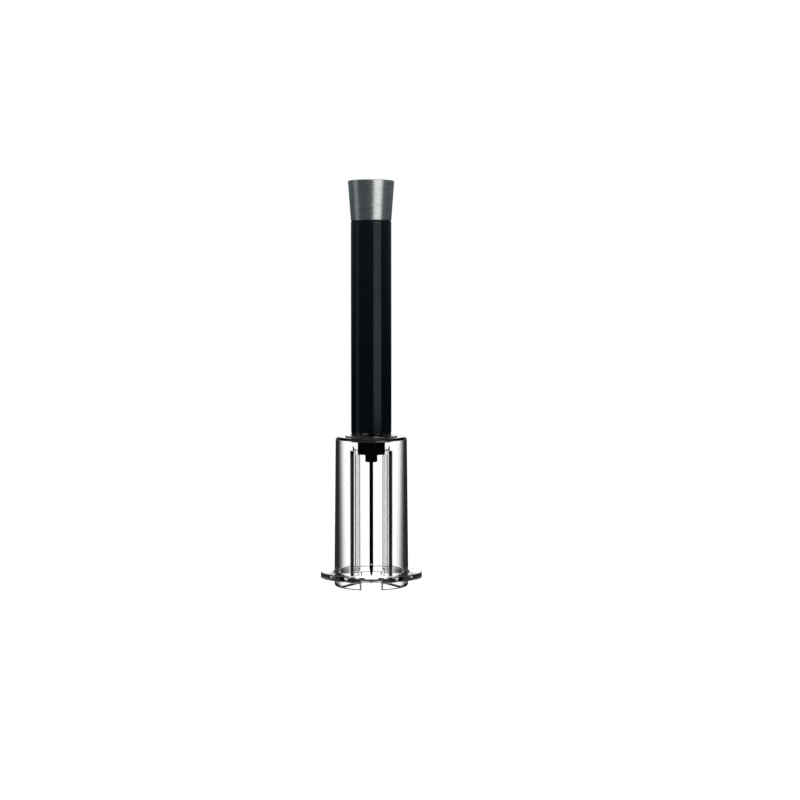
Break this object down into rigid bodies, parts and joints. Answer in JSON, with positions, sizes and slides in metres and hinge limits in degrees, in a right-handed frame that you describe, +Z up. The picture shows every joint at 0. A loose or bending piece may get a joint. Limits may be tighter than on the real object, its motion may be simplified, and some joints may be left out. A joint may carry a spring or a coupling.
{
  "type": "air pump wine opener",
  "caption": "Hand pump with a hollow needle in a clear flanged sleeve, which pushes a cork out with air.",
  "frame": {"origin": "centre of the sleeve's foot, where the axis meets the surface that it stands on", "axes": "+Z up the pump's axis from the sleeve's foot to the handle cap, X along the flange's long axis"},
  "size_m": [0.049, 0.037, 0.195],
  "materials": {
    "clear_plastic": "clear moulded plastic, polished",
    "clear_rubber": "clear silicone rubber",
    "black_tube": "black anodised, fine turning lines",
    "black_plastic": "black moulded plastic",
    "black_rubber": "black rubber",
    "steel": "ground steel",
    "spring_steel": "dark spring steel",
    "brass": "turned brass",
    "white_plastic": "natural white plastic",
    "cast_cap": "dark silver, sand-cast grain"
  },
  "bodies": {
    "pump": {"pump_tube": "black_tube", "needle_hub": "black_plastic", "slide_bush": "clear_plastic", "hub_seal_ring": "black_rubber", "needle_ferrule": "black_plastic", "needle_seal": "black_rubber", "needle": "steel", "valve_seat": "brass", "valve_retainer": "brass", "valve_spring": "steel", "bump_stop": "black_rubber", "rod_gland": "black_plastic", "rod_wiper": "black_rubber", "gland_clip": "spring_steel"},
    "handle": {"handle_cap": "cast_cap", "cap_insert": "white_plastic", "rod_lock_nut": "steel", "piston_rod": "steel", "piston_nut": "steel", "cup_washer": "steel", "piston_cup": "black_rubber", "piston_head": "white_plastic", "cushion_ring": "black_rubber"},
    "guide": {"guide_sleeve": "clear_plastic", "friction_ring": "clear_rubber"},
    "valve": {"valve_ball": "steel"}
  },
  "joints": [
    {"name": "pump_stroke", "type": "slide", "parent": "pump", "child": "handle", "axis": [0, 0, 1], "range_m": [0, 0.0665]},
    {"name": "sleeve_slide", "type": "slide", "parent": "pump", "child": "guide", "axis": [0, 0, 1], "range_m": [0, 0.0545]},
    {"name": "valve_lift", "type": "slide", "parent": "pump", "child": "valve", "axis": [0, 0, -1], "range_m": [0, 0.0012], "stiffness_N_per_m": 60, "springref_m": -0.0005, "deforming": ["valve_spring"]}
  ]
}
